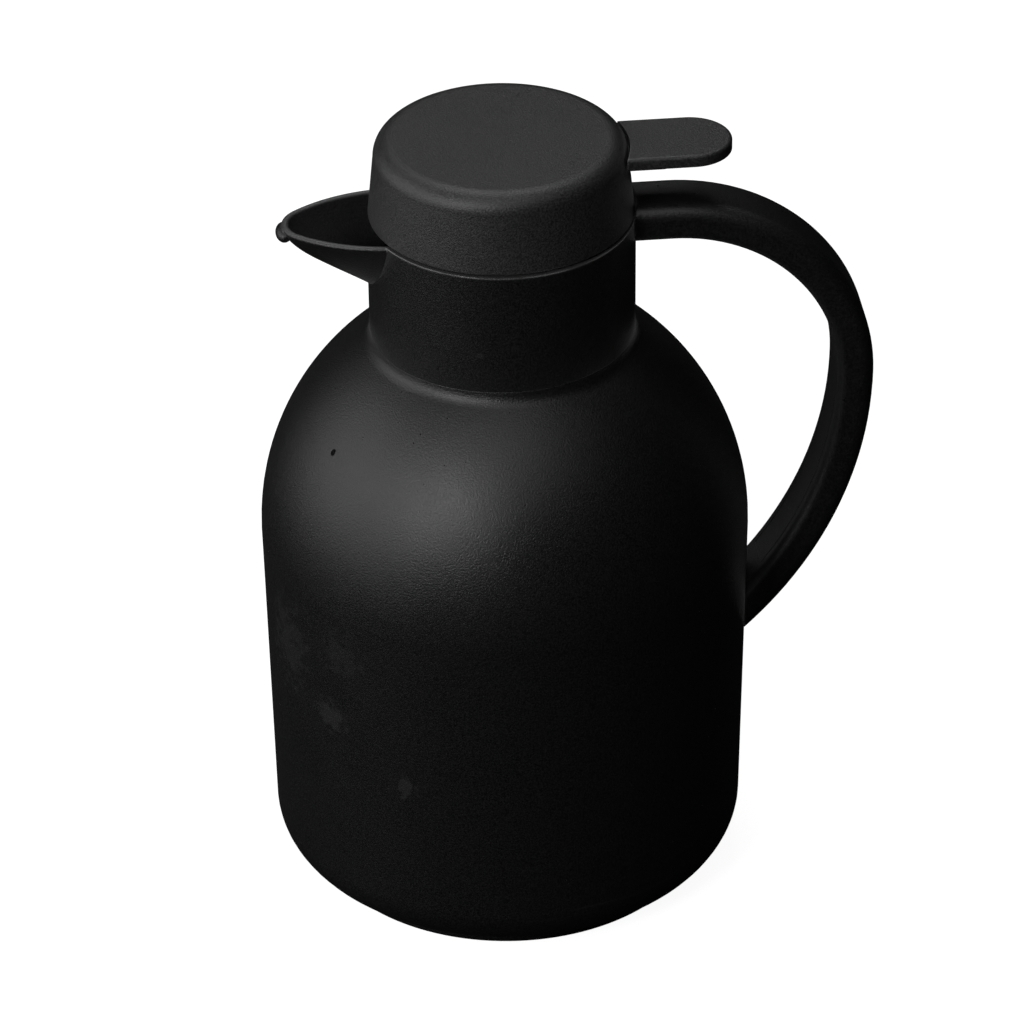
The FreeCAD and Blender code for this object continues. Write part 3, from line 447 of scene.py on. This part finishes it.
def drawn_steel(name):
    """Stainless steel with fine drawing lines and dull patches."""
    material, tree, shader, surface = open_material(name)
    lines = noise(tree, stretched(tree, surface, DRAWN_STRETCH), scale=1.0, detail=3.0)
    dull = noise(tree, surface, scale=300.0, detail=3.0)
    feed(tree, shader.inputs["Base Color"], blend_colours(tree, dull, STEEL, DULL_STEEL))
    vary_roughness(tree, shader, lines, least=0.14, change=0.22)
    raise_surface(tree, shader, {"Height": lines, "Distance": 0.01 * MM, "Strength": 0.5})
    shader.inputs["Metallic"].default_value = 1.0
    return material


# Finishes of this carafe

BLACK = (0.0065, 0.0065, 0.0067, 1.0)
# the cap's black is lighter than the body's: painted light for the brighter light the cap catches
CAP_LIT_BLACK = (0.02, 0.02, 0.0203, 1.0)
CLOSURE_BLACK = (0.03, 0.03, 0.031, 1.0)
SEAL_WHITE = (0.62, 0.62, 0.6, 1.0)
SEAL_DUSTY = (0.5, 0.49, 0.46, 1.0)
CUSHION_DARK = grey(0.02)
CUSHION_DUSTY = (0.07, 0.065, 0.06, 1.0)

SMUDGES = [
    # centre on the surface, reach, squeeze in height, strength
    ((-0.0546, -0.0429, 0.0742), 0.0085, 1.0, 0.42),
    ((-0.0353, -0.0596, 0.0594), 0.0052, 1.0, 0.42),
    ((-0.0649, -0.0253, 0.0889), 0.0160, 0.8, 0.3),
    ((-0.0520, -0.0465, 0.0965), 0.0105, 1.0, 0.2),
    ((-0.0098, -0.0361, 0.1862), 0.0016, 1.0, 0.3),
]
CAP_SMUDGES = [
    ((-0.0230, 0.0053, 0.2340), 0.0034, 1.0, 0.3),
    ((0.0120, -0.0140, 0.2340), 0.0042, 1.0, 0.2),
]
# centre on the shoulder, reach, squeeze in height
NICK = ((-0.0504, -0.0268, 0.1521), 0.0016, 0.55)
# lowest and highest scuff above the floor
FOOT_SCUFFS = (4 * MM, 30 * MM)

# edges sets the strength of each finish's painted edge highlights, and rim the top of the painted highlight on
# the rim
body_black = moulded_plastic(
    "body_black", BLACK, rough=0.37, fineness=2100.0, depth=0.14 * MM, edges=0.8, patches=SMUDGES,
    scuffs=FOOT_SCUFFS, nick=NICK, rim=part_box("neck_collar")[1].z,
)
handle_black = moulded_plastic(
    "handle_black", BLACK, rough=0.4, fineness=2100.0, depth=0.11 * MM, edges=0.06,
)
cap_black = moulded_plastic(
    "cap_black", CAP_LIT_BLACK, rough=0.45, fineness=2100.0, depth=0.13 * MM, edges=0.7, patches=CAP_SMUDGES,
)
closure_black = moulded_plastic(
    "closure_black", CLOSURE_BLACK, rough=0.4, fineness=2600.0, depth=0.04 * MM, edges=0.05,
)
flask_silver = silvered_glass("flask_silver")
seal_white = soft_rubber("seal_white", SEAL_WHITE, SEAL_DUSTY, rough=0.45, through=0.15)
cushion_dark = soft_rubber("cushion_dark", CUSHION_DARK, CUSHION_DUSTY, rough=0.6, through=0.0)
bright_steel = drawn_steel("bright_steel")

FINISHES = {
    body_black: ["outer_jacket", "neck_collar", "base_cover"],
    handle_black: ["handle_shell", "handle_inner_cover"],
    cap_black: ["cap_shell", "thumb_lever"],
    closure_black: ["stopper_body", "stopper_top", "valve_plunger"],
    flask_silver: ["flask_outer_wall", "flask_inner_wall"],
    seal_white: ["flask_mouth_seal", "stopper_seal", "valve_gasket"],
    cushion_dark: ["flask_cushion"],
    bright_steel: ["lever_pin", "lift_pin", "handle_screw"],
}
for finish, members in FINISHES.items():
    for name in members:
        slots = nodes[name].data.materials
        slots.clear()
        slots.append(finish)


# Making a mesh into a piece

CENTRE = (0, 0, 0)
UPRIGHT = (0, 0, 1)
WELD = 1e-7
SHARP_ANGLE = math.radians(40)
EASE_STEPS = 3


def finish_piece(name, mesh):
    """Puts a mesh in the scene at the origin."""
    piece = bpy.data.objects.new(name, mesh)
    bpy.context.scene.collection.objects.link(piece)
    return piece


def as_piece(name, bm):
    """Closes a bmesh into a scene piece with its faces outwards."""
    bmesh.ops.remove_doubles(bm, verts=bm.verts, dist=WELD)
    bmesh.ops.recalc_face_normals(bm, faces=bm.faces)
    if bm.calc_volume(signed=True) < 0:
        bmesh.ops.reverse_faces(bm, faces=bm.faces)
    mesh = bpy.data.meshes.new(name)
    bm.to_mesh(mesh)
    bm.free()
    mesh.shade_smooth()
    mesh.set_sharp_from_angle(angle=SHARP_ANGLE)
    return finish_piece(name, mesh)


def joined_piece(name, shells):
    """One scene piece of several closed bmeshes."""
    whole = bmesh.new()
    for shell in shells:
        copy = bpy.data.meshes.new("shell")
        shell.to_mesh(copy)
        shell.free()
        whole.from_mesh(copy)
        bpy.data.meshes.remove(copy)
    return as_piece(name, whole)


def dress(piece, body, finish):
    """Gives a new piece its finish and the body it moves with."""
    piece.data.materials.append(finish)
    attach(piece, body)


# Screw thread between the stopper and the neck

THREAD_STARTS = 3
THREAD_ARC = math.radians(90)
THREAD_STEPS = 36
THREAD_LEAD = 9 * MM
THREAD_HEIGHT = 0.9 * MM
THREAD_FOOT = 1.7 * MM
THREAD_CREST = 0.8 * MM
THREAD_SINK = 0.15 * MM
PLUG_RADIUS = 32.2 * MM
PLUG_THREAD_MIDDLE = 186.4 * MM
BORE_RADIUS = 33.4 * MM
BORE_THREAD_MIDDLE = 188.2 * MM
# share of a ridge in which each of its ends runs out into the wall
RUN_OUT = 0.14
# a first point that rounds to just before its ridge comes out past this share
BEFORE_START = 1.2


def run_out_share(vert):
    """How much of its full height a ridge has at this point."""
    angle = math.atan2(vert.co.y, vert.co.x) + THREAD_ARC / 2
    share = (angle % (math.tau / THREAD_STARTS)) / THREAD_ARC
    if share > BEFORE_START:
        share = 0.0
    return min(1.0, share / RUN_OUT, max(0.0, 1.0 - share) / RUN_OUT)


def thread_ridges(name, radius, height, middle):
    """Three winding ridges on a round wall; a negative height stands inwards."""
    rise = THREAD_LEAD * THREAD_ARC / math.tau
    root = radius - math.copysign(THREAD_SINK, height)
    low = middle - rise / 2
    outline = [
        (root, low - THREAD_FOOT / 2),
        (radius + height, low - THREAD_CREST / 2),
        (radius + height, low + THREAD_CREST / 2),
        (root, low + THREAD_FOOT / 2),
    ]
    bm = bmesh.new()
    for start in range(THREAD_STARTS):
        first = math.tau * start / THREAD_STARTS - THREAD_ARC / 2
        turn = Matrix.Rotation(first, 3, "Z")
        profile = bm.faces.new([bm.verts.new(turn @ Vector((r, 0, z))) for r, z in outline])
        bmesh.ops.spin(
            bm, geom=[profile], cent=CENTRE, axis=UPRIGHT, dvec=(0, 0, rise / THREAD_STEPS),
            angle=THREAD_ARC, steps=THREAD_STEPS, use_merge=False, use_duplicate=False,
        )
    for vert in bm.verts:
        reach = math.hypot(vert.co.x, vert.co.y)
        eased = root + (reach - root) * run_out_share(vert)
        vert.co.x *= eased / reach
        vert.co.y *= eased / reach
    return as_piece(name, bm)


stopper_thread = thread_ridges("stopper_thread", PLUG_RADIUS, THREAD_HEIGHT, PLUG_THREAD_MIDDLE)
dress(stopper_thread, "closure", closure_black)
neck_thread = thread_ridges("neck_thread", BORE_RADIUS, -THREAD_HEIGHT, BORE_THREAD_MIDDLE)
dress(neck_thread, "carafe", body_black)


# Ribs that a mould leaves under the base and under the thumb plate

BASE_RECESS = 1.2 * MM
BASE_RIB_LOW = BASE_RECESS - 0.8 * MM
BASE_RIB_HIGH = BASE_RECESS + 0.2 * MM
BASE_RIB_EASE = 0.3 * MM
# inner and outer radius of each ring
BASE_RINGS = [(8 * MM, 10.5 * MM), (34 * MM, 36.5 * MM)]
RING_STEPS = 96
WINGS = 3
WING_INNER = 9.5 * MM
WING_OUTER = 35 * MM
WING_HALF = 1.2 * MM

LEVER_THICK = 3.4 * MM
LEVER_RIB_INNER = 47 * MM
LEVER_RIB_OUTER = 58.5 * MM
LEVER_RIB_SIDES = (-6.5 * MM, 6.5 * MM)
LEVER_RIB_HALF = 0.6 * MM
LEVER_RIB_DEPTH = 1.2 * MM
LEVER_RIB_SINK = 0.3 * MM
LEVER_RIB_EASE = 0.25 * MM


def rounded_bar(low, high, ease):
    """A straight bar between two corners with eased edges."""
    size = Vector(high) - Vector(low)
    centre = (Vector(high) + Vector(low)) / 2
    place_bar = Matrix.Translation(centre) @ Matrix.Diagonal((*size, 1.0))
    bm = bmesh.new()
    bmesh.ops.create_cube(bm, size=1.0, matrix=place_bar)
    bmesh.ops.bevel(bm, geom=list(bm.edges), offset=ease, offset_type="OFFSET", affect="EDGES",
                    segments=EASE_STEPS, profile=0.5, material=-1)
    return bm


def raised_ring(inner, outer, low, high, ease):
    """A flat ring round the upright axis with eased edges."""
    corners = [(inner, low), (outer, low), (outer, high), (inner, high)]
    bm = bmesh.new()
    section = bm.faces.new([bm.verts.new((r, 0, z)) for r, z in corners])
    bmesh.ops.bevel(bm, geom=list(section.verts), offset=ease, offset_type="OFFSET", affect="VERTICES",
                    segments=EASE_STEPS, profile=0.5, material=-1)
    bmesh.ops.delete(bm, geom=list(bm.faces), context="FACES_ONLY")
    bmesh.ops.spin(bm, geom=list(bm.edges), cent=CENTRE, axis=UPRIGHT, dvec=(0, 0, 0), angle=math.tau,
                   steps=RING_STEPS, use_merge=True, use_duplicate=False)
    return bm


def base_wing(turn):
    """One wing that a hand or a tool turns the base cover by."""
    bm = rounded_bar((WING_INNER, -WING_HALF, BASE_RIB_LOW), (WING_OUTER, WING_HALF, BASE_RIB_HIGH),
                     BASE_RIB_EASE)
    bmesh.ops.rotate(bm, verts=bm.verts, cent=CENTRE, matrix=Matrix.Rotation(turn, 3, "Z"))
    return bm


def base_ribs():
    """Two raised rings and three wings for unscrewing the base cover, inside its recess."""
    rings = [raised_ring(inner, outer, BASE_RIB_LOW, BASE_RIB_HIGH, BASE_RIB_EASE)
             for inner, outer in BASE_RINGS]
    wings = [base_wing(math.tau * wing / WINGS) for wing in range(WINGS)]
    return joined_piece("base_ribs", rings + wings)


def lever_ribs():
    """Two stiffening ribs under the thumb plate."""
    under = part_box("thumb_lever")[1].z - LEVER_THICK
    low, high = under - LEVER_RIB_DEPTH, under + LEVER_RIB_SINK
    ribs = [rounded_bar((LEVER_RIB_INNER, side - LEVER_RIB_HALF, low),
                        (LEVER_RIB_OUTER, side + LEVER_RIB_HALF, high), LEVER_RIB_EASE)
            for side in LEVER_RIB_SIDES]
    return joined_piece("lever_ribs", ribs)


dress(base_ribs(), "carafe", body_black)
dress(lever_ribs(), "lever", cap_black)


# Return spring between the valve and the top plate

SPRING_TURNS = 5
SPRING_STEPS = 32 * SPRING_TURNS
SPRING_RADIUS = 6.2 * MM
SPRING_WIRE = 0.5 * MM
WIRE_SIDES = 12


def wound_spring(low, high):
    """A round wire wound upwards between two heights."""
    bm = bmesh.new()
    upright = Matrix.Rotation(math.radians(90), 4, "X")
    place_wire = Matrix.Translation((SPRING_RADIUS, 0, low + SPRING_WIRE)) @ upright
    bmesh.ops.create_circle(bm, cap_ends=True, segments=WIRE_SIDES, radius=SPRING_WIRE, matrix=place_wire)
    climb = (high - low - 2 * SPRING_WIRE) / SPRING_STEPS
    bmesh.ops.spin(bm, geom=list(bm.faces), cent=CENTRE, axis=UPRIGHT, dvec=(0, 0, climb),
                   angle=math.tau * SPRING_TURNS, steps=SPRING_STEPS, use_merge=False, use_duplicate=False)
    return as_piece("spring_coil", bm)


spring_low, spring_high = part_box("return_spring")
spring_coil = wound_spring(spring_low.z, spring_high.z)
spring_coil.data.materials.append(bright_steel)
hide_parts("return_spring")
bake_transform(spring_coil)


# Floor, light and camera

AIM = Vector((0.0, 0.0, 0.109))

LAMPS = [
    # name, bearing and rise in degrees (left is negative), distance, width and height in metres, watts
    ("key_left_front", -36.0, 28.0, 1.4, 0.3, 0.3, 6.2),
    ("front_high", -8.0, 60.0, 1.3, 1.0, 0.8, 3.3),
    ("left_wide", -84.0, 20.0, 1.1, 1.6, 1.0, 8.5),
    ("back_high", -176.0, 66.0, 1.4, 0.8, 0.8, 6.2),
    ("right_back", 120.0, 55.0, 1.4, 0.7, 0.7, 0.3),
]

FLOOR_RADIUS = 9.0
FLOOR_SIDES = 96
# the floor's own light to the camera, and its colour there under the lamps, which keeps the shadow
FLOOR_WHITE = 0.94
FLOOR_SHADE = 0.25
# the floor's colour and the room's light to all other rays
FLOOR_BOUNCE = 0.012
WORLD_LEVEL = 0.004
WORLD_WHITE = 1.0
# between the first and the second bounce of gloss
PAST_FIRST_BOUNCE = 1.5

CAMERA_BEARING = -5.5
CAMERA_RISE = 32.93
CAMERA_ROLL = math.radians(-0.68)
CAMERA_DISTANCE = 1.4596
SENSOR_WIDTH = 36.0
LENS_LENGTH = 178.1
LENS_SHIFT = (0.00705, 0.0062)


def direction(bearing, rise):
    """The way from the object to a bearing and a rise in degrees."""
    side, up = math.radians(bearing), math.radians(rise)
    return Vector((math.sin(side) * math.cos(up), -math.cos(side) * math.cos(up), math.sin(up)))


def soft_lamp(name, bearing, rise, distance, width, height, power):
    """A soft box that faces the object."""
    light = bpy.data.lights.new(name, "AREA")
    light.shape = "RECTANGLE"
    light.size = width
    light.size_y = height
    light.energy = power
    lamp = bpy.data.objects.new(name, light)
    bpy.context.scene.collection.objects.link(lamp)
    away = direction(bearing, rise)
    lamp.location = AIM + away * distance
    lamp.rotation_euler = away.to_track_quat("Z", "Y").to_euler()


def shows_backdrop(tree):
    """One for what shows straight, through glass, or in the flask, whose mirrors face each other."""
    path = node(tree, "ShaderNodeLightPath").outputs
    straight = maths(tree, "MAXIMUM", path["Is Camera Ray"], path["Is Transmission Ray"])
    mirrored = maths(tree, "GREATER_THAN", path["Glossy Depth"], PAST_FIRST_BOUNCE)
    return maths(tree, "MAXIMUM", straight, times(tree, mirrored, path["Is Glossy Ray"]))


def lay_surface(tree, output, plain, backdrop):
    """Shows the backdrop to the rays that see it, and the plain shader to all others."""
    mixed = node(tree, "ShaderNodeMixShader",
                 {0: shows_backdrop(tree), 1: plain.outputs[0], 2: backdrop.outputs[0]})
    node(tree, output, {"Surface": mixed.outputs[0]})


def make_floor():
    """A pale round floor, white to the camera, which keeps a soft shadow."""
    bm = bmesh.new()
    bmesh.ops.create_circle(bm, cap_ends=True, segments=FLOOR_SIDES, radius=FLOOR_RADIUS)
    mesh = bpy.data.meshes.new("floor")
    bm.to_mesh(mesh)
    bm.free()
    floor = finish_piece("floor", mesh)
    material = bpy.data.materials.new("pale_floor")
    material.use_nodes = True
    tree = material.node_tree
    tree.nodes.clear()
    bounce = node(tree, "ShaderNodeBsdfDiffuse", {"Color": grey(FLOOR_BOUNCE)})
    shade = node(tree, "ShaderNodeBsdfDiffuse", {"Color": grey(FLOOR_SHADE)})
    white = node(tree, "ShaderNodeEmission", {"Color": grey(1.0), "Strength": FLOOR_WHITE})
    backdrop = node(tree, "ShaderNodeAddShader", {0: white.outputs[0], 1: shade.outputs[0]})
    lay_surface(tree, "ShaderNodeOutputMaterial", bounce, backdrop)
    mesh.materials.append(material)


def make_world():
    """A dim even room, white where the camera looks past the floor."""
    world = bpy.data.worlds.new("studio")
    bpy.context.scene.world = world
    world.use_nodes = True
    tree = world.node_tree
    tree.nodes.clear()
    room = node(tree, "ShaderNodeBackground", {"Color": grey(1.0), "Strength": WORLD_LEVEL})
    white = node(tree, "ShaderNodeBackground", {"Color": grey(1.0), "Strength": WORLD_WHITE})
    lay_surface(tree, "ShaderNodeOutputWorld", room, white)


def photo_camera():
    """A long lens from the front, a little to the left and well above."""
    lens = bpy.data.cameras.new("photo_camera")
    lens.sensor_width = SENSOR_WIDTH
    lens.lens = LENS_LENGTH
    lens.shift_x, lens.shift_y = LENS_SHIFT
    camera = bpy.data.objects.new("photo_camera", lens)
    bpy.context.scene.collection.objects.link(camera)
    away = direction(CAMERA_BEARING, CAMERA_RISE)
    level = away.to_track_quat("Z", "Y").to_matrix().to_4x4()
    roll = Matrix.Rotation(CAMERA_ROLL, 4, "Z")
    camera.matrix_world = Matrix.Translation(AIM + away * CAMERA_DISTANCE) @ level @ roll
    bpy.context.scene.camera = camera


for lamp_values in LAMPS:
    soft_lamp(*lamp_values)
make_floor()
make_world()
photo_camera()
bpy.context.scene.view_settings.view_transform = "Standard"
